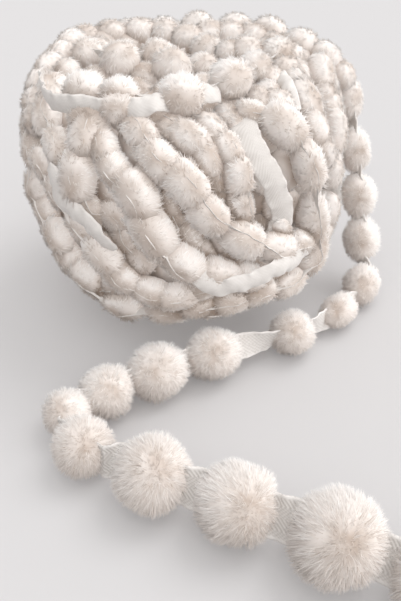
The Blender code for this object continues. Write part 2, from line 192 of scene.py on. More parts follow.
# Bare tape that shows between the wound pompoms. The path's points are azimuth, latitude,
# lift and how far the tape is turned about its own length, from 0, lying flat, to 90, on edge.
Bare = namedtuple("Bare", "name width path")
BARE_TAPE = (
    Bare("crown_band", 11, (
        (-84, 49, 9, 70), (-74, 49, 12, 65), (-63, 47, 13, 60), (-55, 46, 14, 55),
        (-48, 48, 14, 50), (-41, 52, 14, 50), (-34, 55, 12, 50), (-27, 57, 10, 40),
        (-20, 59, 13, 25), (-15, 61, 14, 10), (-10, 64, 15, 5), (-5, 67, 12, 15))),
    Bare("crown_gap", 11, (
        (4, 72, 10, 20), (9, 71, 13, 10), (15, 71, 13, 10), (22, 72, 10, 20))),
    Bare("left_strip", 10, (
        (-47, 12, 10, 20), (-43, 9, 12, 10), (-41, 5, 13, 0), (-37, 3, 13, 0), (-32, 2, 13, 0),
        (-29, 1, 13, 0), (-25, 0, 12, 10), (-23, -2, 9, 20))),
    Bare("right_strip", 15, (
        (27, 58, 2, 20), (27, 52, 4, 15), (26, 45, 5, 10), (27, 33, 5, 5), (29, 23, 5, 5),
        (32, 14, 5, 5), (34, 6, 5, 10), (37, 1, 5, 10), (36, -3, 3, 20))),
    Bare("right_edge", 8, (
        (72, 69, 7, 60), (62, 64, 9, 50), (55, 56, 8, 50), (52, 48, 5, 60))),
    Bare("braid", 11, (
        (45, -8, 13, 20), (40, -10, 15, 10), (34, -8, 17, 20), (30, -8, 17, 20),
        (26, -9, 17, 20), (21, -10, 17, 20), (16, -10, 17, 20), (12, -11, 16, 20),
        (8, -9, 15, 20), (5, -6, 12, 20))),
)

# The loose end, from the ball to its far end: the pompoms' centres and diameters, the tape's
# width there and the direction across the tape, in millimetres, then how much longer than wide
# the pompom is, the way its pile parts from, and how many hairs it has, in hundreds
Loose = namedtuple("Loose", "x y z size tape across long crown pile")
LOOSE_END = (
    Loose(110, 27, 124, 21, 14, (0.3, -1.0, 0.4), 1.25, (0.5, -0.6, 0.6), 20),
    Loose(116, 11, 95, 22, 14, (0.2, -1.0, 0.2), 1.30, (0.2, -0.9, 0.4), 22),
    Loose(121, 1, 65, 26, 15, (0.2, -1.0, 0.2), 1.12, (-0.1, -0.9, 0.4), 24),
    Loose(125, -8, 35, 28, 15, (0.3, -0.9, 0.4), 1.05, (-0.1, -0.9, 0.5), 26),
    Loose(124, -34, 14, 27, 15, (0.3, 0.0, 1.0), 1.05, (0.0, -0.7, 0.7), 26),
    Loose(104, -60, 12, 24, 15, (-0.2, 0.3, 1.0), 1.15, (-0.2, -0.6, 0.8), 24),
    Loose(70, -85, 15, 32, 16, (0.0, -0.2, 1.0), 1.00, (0.0, -0.6, 0.8), 30),
    Loose(19, -107, 17, 36, 17, (0.0, 0.6, 0.8), 1.05, (0.1, -0.6, 0.8), 34),
    Loose(-15, -122, 17, 38, 17, (0.0, 0.3, 1.0), 1.05, (0.1, -0.6, 0.8), 36),
    Loose(-44, -137, 16, 35, 17, (0.0, 0.1, 1.0), 1.03, (0.3, -0.5, 0.8), 34),
    Loose(-65, -153, 15, 31, 18, (0.0, 0.0, 1.0), 1.00, (-0.2, -0.5, 0.8), 30),
    Loose(-53, -178, 17, 36, 20, (0.1, 0.2, 1.0), 1.00, (0.26, -0.55, 0.80), 70),
    Loose(-14, -199, 21, 44, 23, (0.0, 0.5, 0.9), 1.00, (0.23, -0.47, 0.85), 96),
    Loose(29, -217, 22, 45, 24, (0.0, 0.6, 0.8), 1.00, (0.34, -0.68, 0.66), 102),
    Loose(75, -238, 24, 49, 25, (0.0, 0.6, 0.8), 1.00, (0.13, -0.63, 0.77), 112),
    Loose(120, -260, 24, 49, 25, (0.0, 0.6, 0.8), 1.00, (-0.30, -0.30, 0.90), 90),
)
HANGING = 6             # so many loose pompoms hang, and their pile closes the gaps between them
HANGING_REACH = 1.24    # how far their pile spreads along the tape, against the others'
FIRST_LARGE = 11        # from this one on, counted from 0, the loose pompoms have long pile

# One pompom as it is made: axes holds the unit vectors along the tape, across it and outwards,
# and its pile parts at a point, crown, or all along the tape there if parting is 1
Pompom = namedtuple("Pompom",
                    "centre axes radii roundness crown parting hairs seed group turn")
SIZE_RANGE = (0.96, 1.03)   # of the wound pompoms, against their widths
PRESSED = 0.96              # how high a wound pompom is against its width
LOOSE_TURN = 1.3            # up to so long a pompom its neighbours stand clear of it
REACH_OVER = 1.1            # how long the others are against the gap to the next one
MOST_STRETCH = 1.3          # but at most so long against their own length
STRAY_SEAM = 10             # degrees that a parting strays from its strand's
LOOSE_ROUNDNESS = 2.1       # of the loose pompoms: 2 is an ellipse, and more is squarer

# A kind of pile. Its roots and the dense body below it are at these shares of the way out,
# and its tufts have this width. They lean away from the parting, are pulled together in
# clumps of so many, and spread about. None grow where the way outwards is less than bare.
# Depth is how light their feet are painted, as painted shade down among the hairs, sway how
# unevenly they take the light, and streak how far they differ in tone.
Pile = namedtuple("Pile", "root body width lean pull clump spread bare depth sway streak")
WOUND_PILE = Pile(root=0.77, body=0.88, width=0.72 * MM, lean=0.75, pull=0.35, clump=7,
                  spread=0.16, bare=-0.05, depth=0.55, sway=0.15, streak=0.16)
SHORT_PILE = Pile(root=0.75, body=0.86, width=0.70 * MM, lean=0.45, pull=0.35, clump=8,
                  spread=0.18, bare=-1.1, depth=0.50, sway=0.18, streak=0.10)
LONG_PILE = Pile(root=0.79, body=0.87, width=0.54 * MM, lean=0.95, pull=0.28, clump=11,
                 spread=0.13, bare=-1.1, depth=0.34, sway=0.20, streak=0.28)

UNEVEN = 0.014              # how far each swelling of the pile stands out, against its reach
SWELLINGS = 9
SWELLING_PACE = (2.5, 9.0)  # radians of its wave from the pompom's middle to its outline
SWELLING_START = 6.28       # and the most that the wave starts with
PULL_RANGE = (0.5, 1.3)     # the pull of single tufts, against their pile's
CLUMP_GROWTH, TUFT_GROWTH = 0.012, 0.018    # how unevenly clumps and tufts reach out
CLUMP_STREAK = 7            # by how much less clumps differ in tone than tufts
WIDTH_RANGE = (0.7, 1.3)    # the width of single tufts, against their pile's
TUFT_TWIST = 0.25           # how unevenly their broad sides face outwards
TUFT_ROUND = 0.3            # how round the shading makes their broad sides
# The body is painted darker than the tips as painted shade under the hairs, unevenly at random.
BODY_RANGE = (0.9, 1.15)    # how unevenly the body below them takes the light
BODY_LIGHT = 0.32           # and how much of it, with half of the pile's depth
PARTED_SHARE = 0.75         # how much of what runs along the parting a tuft's way loses
# Near the parting the pile is painted darker and warmer, partly its own tone and partly painted
# shade down into the parting.
TONE_ANGLE = 80             # degrees from the parting to where the pile has its own tone
TONE_START, TONE_RISE, TONE_SPREAD = 0.05, 0.85, 0.10
CREASE = 0.07               # how near to the parting no hair grows, against that angle
GROWN_OVER = 0.84           # a hair that ends deeper in a neighbour than this is left out,
NEAR_TIP = 0.96             # as seen at this share of its length
UPWARD = np.array((0, 0, 0.3))      # turns every hair's shading a little to the light above
# How far above the surface below the hairs' roots and tips, their bodies and the tape stay
ROOT_CLEAR, TIP_CLEAR, BODY_CLEAR, TAPE_CLEAR = 1.2 * MM, 0.3 * MM, 0.8 * MM, 0.2 * MM

# Painted shade and light in the pile's colour: how much light the pile is painted with near
# the surface below, on its top against its sides and undersides, and down between pompoms,
# where it grows from so far out in the other pompom, over such a band. Gaps on the crown are
# painted lighter than lower ones.
FLOOR_LIGHT, FLOOR_BAND = 0.5, 62 * MM
SIDE_LIGHT, TOP_LIGHT, UNDER_LIGHT = 0.88, 0.25, 0.7
BESIDE, BESIDE_BAND = 0.87, 0.26            # for a pompom of another turn
BEHIND, BEHIND_BAND, BEHIND_LIGHT = 0.72, 0.32, 0.55    # for one of the same turn
GAP_LIGHT, CROWN_LIGHT = 0.12, 0.46         # the least in a gap, and what the crown adds to it
CROWN_FOOT, CROWN_BAND = 110 * MM, 40 * MM  # the height where it starts to, and over how much
GAP_MARGIN = 0.05

# The mass under the turns
CORE_DEPTH = 19 * MM        # below the outer turns' centres
CORE_DIP = 0.6              # of that depth, at the crown
CORE_POWER = 0.6
CORE_FOOT = 4 * MM          # how far above the surface it ends
CORE_RIPPLE = 0.02
CORE_WAVES = (40, 33, 9)    # how many radians its ripples turn over its half width each way
# Painted shade: the core sits low on the plush's ramp, painted dark as the shade deep in the ball.
CORE_TONE_AND_SHADE = (0.5, 0.12)     # its place on the plush's map

# The tape
BAND_PAIR = 12.5 * MM       # across two bands of ribs, which slant opposite ways
RIB_SPACING = 2.3 * MM      # along the tape, from rib to rib
CORD_TWIST = 2.6 * MM       # along an edge cord, from turn to turn
CORD_PLACE, CORD_SPREAD = 0.92, 0.07    # of an edge cord, against the tape's half width
RIB_HEIGHT = 0.6            # of a rib, against an edge cord's, which is
CORD_FOOT, CORD_RISE = 0.75, 0.25       # so much, and so much more or less along its twist
WEAVE_DEPTH = 0.45 * MM     # how far the edge cords stand out of the face
FINE_STEP = 0.6 * MM        # from station to station where the weave shows close by
PLAIN_STEP = 1.3 * MM
ROUGH_STEP = 4 * MM         # and inside the pompoms
FACE_SHARE = 0.28           # of the tape's thickness, from its middle out to its grooves
RIM_SHARE, RIM_LEAST = 0.06, 0.25       # the tape's rims are so wide, and so thin at their ends
PLAIN_HALF = 4              # millimetres: a tape with no more than this each side looks plain,
CLEAR_HALF = 5              # and one with so much more shows its whole weave
LEAST_WEAVE = 0.25
WAVES = (13 * MM, 7.1 * MM)     # along the tape's edges, a long wave and a short one
WAVE_TURN = 1.9             # radians that the long one is ahead at one edge, behind at the other
SHORT_WAVE = 0.6            # the short one's height, against the long one's
SECTION_SHARE = 0.42        # of the gap to the next pompom: how far the tape runs straight
TOP_TAIL = 2 * MM           # of bare tape where the loose end leaves the ball
IN_PILE = 0.75              # how far out, against its radius, a loose pompom hides the tape
LOOSE_COLUMNS = 31
LOOSE_RIPPLE = 0.4 * MM
SEAM_WIDTH = 6 * MM         # of the tape that stands on edge in the wound turns
SEAM_EDGE = (0.89, 0.75)    # how far out its edge is, against a pompom's radius, on it and
LOOSE_SEAM_EDGE = (0.6, 0.4)    # between two, and the same in turns of round pompoms
# Painted shade: the wound tape's relief is scaled down, so the tape is painted darker, as the
# shade where it lies deeper in the ball.
PAINTED_WOUND_SHADE = 0.55                 # the wound tape's relief against the loose tape's: it lies deeper

# A strip of tape as it is made: its route, the ways across it, and how finely it is drawn.
# Its edges bulge inwards and ripple.
Strip = namedtuple("Strip", "route across width step columns ripple bulge")
BARE_STRIP = dict(step=0.8 * MM, columns=19, ripple=0.7 * MM, bulge=1.6 * MM)
SEAM_STRIP = dict(step=3.0 * MM, columns=5, ripple=0.3 * MM, bulge=0.0)

# Where the ball's pieces meet: how far above its middle the crown starts, in millimetres, and
# how far round from the front its front and its sides reach, in degrees
CROWN_START = 52
FRONT_REACH = 42
SIDE_REACH = 125

# The lights: where each shines from, how wide it looks in degrees, if it throws shadows, and
# if it lights the surface below or the trim
Lamp = namedtuple("Lamp", "name strength place spread shadow on_floor")
LAMPS = (
    Lamp("key_light", "key_strength", (0.8, 0.15, 1.0), 100, True, False),
    Lamp("fill_light", "fill_strength", (0.8, -0.3, 1.0), 60, False, False),
    Lamp("floor_even", "floor_even", (0.0, 0.0, 1.0), 60, False, True),
    Lamp("floor_key", "floor_key", (0.55, 0.35, 1.0), 35, True, True),
)
FLOOR_SIZE = 24.0           # metres
FLOOR_DROP = 0.2 * MM       # below the trim, so that the two don't flicker


# ---------------------------------------------------------------- routes

def unit(vectors):
    """The same vectors, one long each."""
    vectors = np.asarray(vectors, float)
    return vectors / np.linalg.norm(vectors, axis=-1, keepdims=True)


def turn_point(azimuth, latitude, lift):
    """A pompom's centre on the ball, from its azimuth and latitude in degrees, lift in mm."""
    turn = math.radians(azimuth)
    rise = math.radians(latitude)
    power = CROWN_POWER if latitude >= 0 else BASE_POWER
    height = CROWN_RISE if latitude >= 0 else BASE_DROP
    reach = (WAIST_REACH + lift * MM) * math.cos(rise) ** power
    z = math.copysign((height + lift * MM) * abs(math.sin(rise)) ** power, latitude)
    z = max(WAIST_HEIGHT + z, LOWEST_TURN)
    return np.array((reach * math.sin(turn), -reach * math.cos(turn), z))


def outward_at(points):
    """The ways straight out of the ball at points on it."""
    offsets = points - MIDDLE
    steepness = np.where(offsets[:, 2] > 0, *STEEPNESS)
    return unit(offsets * np.stack([np.ones(len(points)), np.ones(len(points)), steepness], 1))


def smooth_route(points, steps=12):
    """Points along a smooth curve through the given points, which may hold more than places."""
    points = [np.asarray(point, float) for point in points]
    ends = [2 * points[0] - points[1], *points, 2 * points[-1] - points[-2]]
    route = []
    for a, b, c, d in zip(ends, ends[1:], ends[2:], ends[3:]):
        for step in range(steps):
            t = step / steps
            route.append(0.5 * (2 * b + (c - a) * t + (2 * a - 5 * b + 4 * c - d) * t * t
                                + (3 * b - a - 3 * c + d) * t ** 3))
    route.append(points[-1])
    return np.array(route)


def travelled(route):
    """How far along the route each of its points is."""
    runs = np.linalg.norm(np.diff(route[:, :3], axis=0), axis=1)
    return np.concatenate(([0.0], np.cumsum(runs)))


def read_at(route, travel, wanted):
    """The route's values where it has travelled the wanted distances."""
    return np.stack([np.interp(wanted, travel, route[:, column])
                     for column in range(route.shape[1])], axis=1)


def spaced_turn(name, long, seam, path, start):
    """A turn with pompoms at an even pitch along a path of azimuths, latitudes and lifts."""
    route = smooth_route([turn_point(*place) for place in path])
    travel = travelled(route)
    count = max(1, round((travel[-1] - start) / WOUND_PITCH))
    centres = read_at(route, travel, np.linspace(start, travel[-1], count + 1))
    return Turn(name, long, seam, centres, np.full(count + 1, WOUND_WIDTH))


def outer_turns():
    """The turns that show: the strands, and the bundles of like ones round the back."""
    for strand in STRANDS:
        centres = np.array([turn_point(*pompom[:3]) for pompom in strand.pompoms])
        widths = np.array([pompom[3] for pompom in strand.pompoms]) * MM
        yield Turn(strand.name, strand.long, strand.seam, centres, widths)
    for bundle in BUNDLES:
        for turn in range(bundle.turns):
            azimuth = bundle.first_azimuth + turn * bundle.step
            steps = len(TURN_LATITUDES) - 1
            path = [(azimuth + bundle.slant * (index / steps - 0.5), latitude,
                     bundle.lift + TURN_LIFTS[index] + (turn % 2) * 2)
                    for index, latitude in enumerate(TURN_LATITUDES)]
            yield spaced_turn(f"back_{bundle.first_azimuth}_{turn}", bundle.long, bundle.seam,
                              path, 7 * turn % STAGGER * MM)


def inner_turns():
    """The turns under the outer ones."""
    for turn in range(INNER_TURNS):
        azimuth = 360 * turn / INNER_TURNS
        steps = len(INNER_LATITUDES) - 1
        path = [(azimuth + INNER_SLANT * (index / steps - 0.5), latitude, INNER_LIFT)
                for index, latitude in enumerate(INNER_LATITUDES)]
        yield spaced_turn(f"inner_{turn}", INNER_LONG, 0, path, 5 * turn % STAGGER * MM)


# ---------------------------------------------------------------- plush

def wound_group(centre):
    """The part of the ball that a pompom belongs to."""
    azimuth = math.degrees(math.atan2(centre[0], -centre[1]))
    rise = (centre[2] - MIDDLE[2]) / MM
    if rise > CROWN_START:
        return "crown_front" if centre[1] < 0 else "crown_back"
    if abs(azimuth) > SIDE_REACH:
        return "back"
    if azimuth > FRONT_REACH:
        return "right"
    return "left" if azimuth < -FRONT_REACH else "front"


def turn_pompoms(turn, hairs):
    """The pompoms along one turn of the ball."""
    ends = np.concatenate((turn.centres[:1], turn.centres, turn.centres[-1:]))
    alongs = unit(ends[2:] - ends[:-2])
    outwards = outward_at(turn.centres)
    rng = np.random.default_rng(sum(map(ord, turn.name)))
    gaps = np.linalg.norm(np.diff(turn.centres, axis=0), axis=1)
    gaps = np.maximum(np.append(gaps, 0), np.insert(gaps, 0, 0))
    for centre, width, along, outward, gap in zip(turn.centres, turn.widths, alongs, outwards,
                                                  gaps):
        outward = unit(outward - along * (outward @ along))
        axes = np.array((along, np.cross(outward, along), outward))
        size = rng.uniform(*SIZE_RANGE)
        length = width * turn.long
        if turn.long > LOOSE_TURN:
            length = np.clip(gap * REACH_OVER, length, length * MOST_STRETCH)
        radii = np.array((length, width, width * PRESSED)) / 2 * size
        seam = math.radians(turn.seam + rng.normal(0, STRAY_SEAM))
        crown = outward * math.cos(seam) + axes[1] * math.sin(seam)
        group = wound_group(centre)
        shown = hairs if group != "back" else hairs * 3 // 4
        yield Pompom(centre, axes, radii, 2 * turn.long, crown, 1, shown,
                     int(rng.integers(1 << 30)), group, turn.name)


def level(pompom, points):
    """How far out in the pompom each point lies: 1 is its outline."""
    local = (points - pompom.centre) @ pompom.axes.T / pompom.radii
    ends = np.abs(local[:, 0])
    girth = np.hypot(local[:, 1], local[:, 2])
    return (ends ** pompom.roundness + girth ** pompom.roundness) ** (1 / pompom.roundness)


def lumps(pompom, ways):
    """The uneven growth of the pile, as a share of its reach, along each way."""
    rng = np.random.default_rng(pompom.seed)
    turns = unit(rng.normal(size=(SWELLINGS, 3))) * rng.uniform(*SWELLING_PACE, (SWELLINGS, 1))
    starts = rng.uniform(0, SWELLING_START, SWELLINGS)
    return 1 + UNEVEN * np.cos(ways @ turns.T + starts).sum(axis=1)


def outline(pompom, ways):
    """Offsets from the pompom's centre to its outline, along each way."""
    reach = 1 / level(pompom, pompom.centre + ways)
    return ways * (reach * lumps(pompom, ways))[:, None]


def steepest(pompom, offsets):
    """The ways straight out of the pompom's outline at offsets from its centre."""
    local = offsets @ pompom.axes.T
    power = pompom.roundness
    girth = np.maximum(np.hypot(local[:, 1] / pompom.radii[1], local[:, 2] / pompom.radii[2]),
                       1e-6)
    ends = np.sign(local[:, 0]) * np.abs(local[:, 0] / pompom.radii[0]) ** (power - 1)
    slopes = np.stack([ends / pompom.radii[0],
                       girth ** (power - 2) * local[:, 1] / pompom.radii[1] ** 2,
                       girth ** (power - 2) * local[:, 2] / pompom.radii[2] ** 2], axis=1)
    return unit(slopes @ pompom.axes)


def kept_off(points, clearance):
    """The points, none of them lower than a clearance above the surface below."""
    points[:, 2] = np.maximum(points[:, 2], clearance)
    return points


def parted(pompom, ways):
    """Ways across the parting, with what runs along it mostly taken out of them."""
    along = pompom.axes[0]
    return unit(ways - along * ((ways @ along) * PARTED_SHARE * pompom.parting)[:, None])


def from_crown(pompom, ways):
    """How far each way is from where the pile parts: 0 there, and 1 from TONE_ANGLE on."""
    turned = parted(pompom, ways) @ pompom.crown
    return np.clip(np.arccos(np.clip(turned, -1, 1)) / math.radians(TONE_ANGLE), 0, 1)


def painted_light(pompom, points, neighbours):
    """The light painted into the pile's colour at points of it, as painted shade: 1 in the open,
    less on a pompom's sides and underside than on its top, down between this turn and the ones
    beside it, and near the surface below."""
    light = np.clip(FLOOR_LIGHT + points[:, 2] / FLOOR_BAND, FLOOR_LIGHT, 1)
    light *= np.clip(SIDE_LIGHT + TOP_LIGHT * unit(points - pompom.centre)[:, 2], UNDER_LIGHT, 1)
    darkest = GAP_LIGHT + CROWN_LIGHT * np.clip((points[:, 2] - CROWN_FOOT) / CROWN_BAND, 0, 1)
    for other in neighbours:
        if other.turn != pompom.turn:
            light *= np.clip((level(other, points) - BESIDE) / BESIDE_BAND, darkest, 1)
        else:
            light *= np.clip((level(other, points) - BEHIND) / BEHIND_BAND, BEHIND_LIGHT, 1)
    return np.maximum(light, darkest - GAP_MARGIN)


def near_ones(pompom, others, reach=34 * MM):
    """The other pompoms near enough to hide some of its hairs."""
    return [other for other in others
            if other is not pompom and np.linalg.norm(other.centre - pompom.centre) < reach]


def grown_hairs(pompom, pile, neighbours, rng):
    """The pompom's hairs: their roots and tips from its centre, their tone, and the light painted
    into their colour, a painted shade with a random streak of tone in it."""
    ways = unit(rng.normal(size=(pompom.hairs, 3)))
    ways = ways[ways @ pompom.axes[2] > pile.bare]
    ways = ways[from_crown(pompom, ways) > CREASE * pompom.parting]
    turned = parted(pompom, ways)
    flow = turned * (turned @ pompom.crown)[:, None] - pompom.crown
    flow /= np.maximum(np.linalg.norm(flow, axis=1, keepdims=True), 1e-6)
    eased = from_crown(pompom, ways)
    tips = unit(ways + flow * eased[:, None] * pile.lean + rng.normal(0, pile.spread, ways.shape))
    clumps = tips[rng.choice(len(tips), max(1, len(tips) // pile.clump), replace=False)]
    nearest = np.argmax(tips @ clumps.T, axis=1)
    pull = pile.pull * rng.uniform(*PULL_RANGE, (len(tips), 1))
    tips = unit(tips + (clumps[nearest] - tips) * pull)
    growth = (1 + rng.normal(0, CLUMP_GROWTH, len(clumps))[nearest]
              + rng.normal(0, TUFT_GROWTH, len(tips)))
    roots = outline(pompom, ways) * pile.root
    ends = outline(pompom, tips) * growth[:, None]
    tone = TONE_START + TONE_RISE * eased + rng.normal(0, TONE_SPREAD, len(ways))
    tone += rng.normal(0, pile.streak / CLUMP_STREAK, len(clumps))[nearest]
    shown = np.ones(len(ways), bool)
    for other in neighbours:
        shown &= level(other, pompom.centre + ends * NEAR_TIP) > GROWN_OVER
    roots, ends, tone = roots[shown], ends[shown], np.clip(tone[shown], 0, 1)
    light = painted_light(pompom, pompom.centre + ends, neighbours)
    light *= 1 - pile.streak * rng.uniform(0, 1, len(light))
    return roots, ends, tone, light


def hair_shapes(pompom, pile, neighbours):
    """The pompom's hairs as one batch: each is a slim closed blade of four faces, with its
    broad side outwards."""
    rng = np.random.default_rng(pompom.seed + 1)
    roots, ends, tone, light = grown_hairs(pompom, pile, neighbours, rng)
    root_outs, end_outs = steepest(pompom, roots), steepest(pompom, ends)
    roots = kept_off(roots + pompom.centre, ROOT_CLEAR)
    ends = kept_off(ends + pompom.centre, TIP_CLEAR)
    stems = unit(ends - roots)
    side = unit(np.cross(stems, root_outs + end_outs))
    side += rng.normal(0, TUFT_TWIST, stems.shape)
    side = unit(side - stems * np.sum(side * stems, axis=1, keepdims=True))
    inward = np.cross(stems, side)
    half = pile.width / 2 * rng.uniform(*WIDTH_RANGE, (len(roots), 1))
    sway = rng.normal(0, pile.sway, stems.shape)
    # Painted shade: the roots sit lower on the pile's ramp than the tips, painted darker as shade
    # down among the hairs.
    painted_root_light = light * pile.depth
    points = np.stack([roots - side * half, roots + side * half, roots + inward * half, ends],
                      axis=1)
    outs = np.stack([root_outs - side * TUFT_ROUND, root_outs + side * TUFT_ROUND,
                     root_outs + inward, end_outs], axis=1) + (sway + UPWARD)[:, None]
    heights = np.stack([painted_root_light, painted_root_light, painted_root_light, light], axis=1)
    faces = (np.array(((0, 1, 3), (1, 2, 3), (2, 0, 3), (0, 2, 1)))[None]
             + np.arange(len(roots))[:, None, None] * 4).reshape(-1, 3)
    places = np.stack([np.repeat(tone, 4), heights.ravel()], axis=1)
    return points.reshape(-1, 3), faces, places, unit(outs.reshape(-1, 3))


def body_shape(pompom, pile, ball, neighbours):
    """The dense middle of the pompom, which its hairs stand on."""
    ways, faces = ball
    offsets = outline(pompom, ways) * pile.body
    rng = np.random.default_rng(pompom.seed + 2)
    tone = TONE_START + TONE_RISE * from_crown(pompom, ways)
    tone = np.clip(tone + rng.normal(0, TONE_SPREAD, len(ways)), 0, 1)
    points = kept_off(offsets + pompom.centre, BODY_CLEAR)
    # Painted shade: the body under the hairs sits low on the ramp, painted darker than their tips,
    # and darker still where shade is painted between pompoms and near the surface below.
    light = painted_light(pompom, points, neighbours)
    heights = rng.uniform(*BODY_RANGE, len(ways)) * (BODY_LIGHT + pile.depth / 2) * light
    places = np.stack([tone, heights], axis=1)
    return points, faces, places, steepest(pompom, offsets)


def round_ball(subdivisions):
    """The points and faces of a ball one metre in radius."""
    bpy.ops.object.select_all(action="DESELECT")
    bpy.ops.mesh.primitive_ico_sphere_add(subdivisions=subdivisions, radius=1.0)
    ball = bpy.context.object
    points = np.empty(len(ball.data.vertices) * 3)
    ball.data.vertices.foreach_get("co", points)
    faces = np.array([tuple(face.vertices) for face in ball.data.polygons])
    bpy.data.objects.remove(ball, do_unlink=True)
    return unit(points.reshape(-1, 3)), faces


def joined_piece(name, batches, map_name, material, relief=None):
    """One piece from batches of points, faces, map places and normals, riding on the trim."""
    points = np.concatenate([batch[0] for batch in batches])
    places = np.concatenate([batch[2] for batch in batches])
    outs = np.concatenate([batch[3] for batch in batches])
    corners = []
    sizes = []
    first = 0
    for batch in batches:
        corners.append((batch[1] + first).ravel())
        sizes.append(np.full(len(batch[1]), batch[1].shape[1]))
        first += len(batch[0])
    corners = np.concatenate(corners)
    sizes = np.concatenate(sizes)
    mesh = bpy.data.meshes.new(name)
    mesh.vertices.add(len(points))
    mesh.vertices.foreach_set("co", points.astype(np.float32).ravel())
    mesh.loops.add(len(corners))
    mesh.loops.foreach_set("vertex_index", corners.astype(np.int32))
    mesh.polygons.add(len(sizes))
    mesh.polygons.foreach_set("loop_start", np.concatenate(([0], np.cumsum(sizes)[:-1])))
    mesh.update(calc_edges=True)
    uv_map = mesh.uv_layers.new(name=map_name)
    uv_map.data.foreach_set("uv", places[corners].astype(np.float32).ravel())
    if relief is not None:
        heights = mesh.attributes.new(RELIEF, "FLOAT", "POINT")
        heights.data.foreach_set("value", relief.astype(np.float32))
    mesh.shade_smooth()
    mesh.normals_split_custom_set_from_vertices(outs)
    mesh.materials.append(material)
    piece = bpy.data.objects.new(name, mesh)
    bpy.context.scene.collection.objects.link(piece)
    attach(piece, "root")
    return piece


# ---------------------------------------------------------------- tape

def woven_relief(along, reach, share):
    """How far the weave stands out at each place on the tape, from 0 to 1: a twisted cord
    along each edge, and between them bands of ribs that slant one way and then the other."""
    cord = np.exp(-((np.abs(share) - CORD_PLACE) / CORD_SPREAD) ** 2)
    zigzag = np.abs((reach / BAND_PAIR) % 1 - 0.5) * BAND_PAIR
    ribs = 0.5 + 0.5 * np.cos((along + zigzag) * math.tau / RIB_SPACING)
    twist = CORD_FOOT + CORD_RISE * np.cos((along + reach * 2) * math.tau / CORD_TWIST)
    return ribs * (1 - cord) * RIB_HEIGHT + twist * cord


def loose_frames():
    """For each loose pompom: its centre, radius, the way along the tape, the way across and
    the tape's width."""
    centres = [np.array((row.x, row.y, row.z)) * MM for row in LOOSE_END]
    frames = []
    for index, row in enumerate(LOOSE_END):
        before = centres[max(index - 1, 0)]
        after = centres[min(index + 1, len(centres) - 1)]
        along = unit(after - before)
        across = np.array(row.across)
        across = unit(across - along * (across @ along))
        frames.append((centres[index], row.size * MM / 2, along, across, row.tape * MM))
    return frames


def ribbon(route, across, widths, wanted, columns, ripple, bulge=0.0):
    """A closed ribbon along a route, with stations at the wanted distances."""
    travel = travelled(route)
    middle = read_at(route, travel, wanted)
    across = unit(read_at(across, travel, wanted))
    half = np.interp(wanted, travel, widths)[:, None] / 2
    along = unit(np.gradient(middle, axis=0))
    across = unit(across - along * np.sum(across * along, axis=1, keepdims=True))
    face = np.cross(along, across)
    share = np.linspace(-1, 1, columns)[None]
    reach = half * share
    run = np.repeat(wanted[:, None], columns, axis=1)
    relief = woven_relief(run, reach, share)
    rim = np.clip((1 - np.abs(share)) / RIM_SHARE, RIM_LEAST, 1)
    clearness = np.clip((half / MM - PLAIN_HALF) / CLEAR_HALF, LEAST_WEAVE, 1)
    thick = (TAPE_THICKNESS * FACE_SHARE + WEAVE_DEPTH * clearness * relief) * rim
    relief = 1 - (1 - relief) * clearness
    long_wave = np.sin(run * math.tau / WAVES[0] + WAVE_TURN * np.sign(share))
    short_wave = SHORT_WAVE * np.sin(run * math.tau / WAVES[1] + share)
    wave = -bulge * share ** 2 + ripple * share ** 2 * (long_wave + short_wave)
    middle = middle[:, None] + across[:, None] * reach[..., None] + face[:, None] * wave[..., None]
    lift = face[:, None] * thick[..., None]
    rings = np.concatenate([middle + lift, (middle - lift)[:, ::-1]], axis=1)
    around = rings.shape[1]
    stations = len(wanted)
    here = np.arange(around)
    beyond = (here + 1) % around
    starts = np.arange(stations - 1)[:, None] * around
    faces = np.stack([starts + here, starts + beyond, starts + beyond + around,
                      starts + here + around], axis=-1).reshape(-1, 4)
    pairs = np.arange(columns - 1)
    cap = np.stack([pairs, around - 1 - pairs, around - 2 - pairs, pairs + 1], axis=-1)
    last = (stations - 1) * around
    faces = np.concatenate([faces[:, ::-1], cap[:, ::-1], cap + last])
    row = np.concatenate([reach, reach[:, ::-1]], axis=1)
    places = np.stack([row, np.repeat(wanted[:, None], around, axis=1)], axis=-1)
    heights = np.concatenate([relief, relief[:, ::-1]], axis=1).ravel()
    points = kept_off(rings.reshape(-1, 3), TAPE_CLEAR)
    return with_normals(points, faces, places.reshape(-1, 2)), heights


def with_normals(points, faces, places):
    """The same batch with a smooth normal at each point."""
    a, b, c = (points[faces[:, corner]] for corner in range(3))
    flat = np.cross(b - a, c - a)
    outs = np.zeros_like(points)
    for corner in range(faces.shape[1]):
        np.add.at(outs, faces[:, corner], flat)
    return points, faces, places, unit(outs + 1e-15)


def bare_strips():
    """The strips of tape that lie bare between the wound pompoms."""
    for bare in BARE_TAPE:
        route = smooth_route([(*turn_point(*place[:3]), math.radians(place[3]))
                              for place in bare.path])
        turns = route[:, 3:]
        route = route[:, :3]
        along = unit(np.gradient(route, axis=0))
        flat = unit(np.cross(outward_at(route), along))
        stood = unit(np.cross(along, flat))
        yield Strip(route, flat * np.cos(turns) + stood * np.sin(turns), bare.width * MM,
                    **BARE_STRIP)


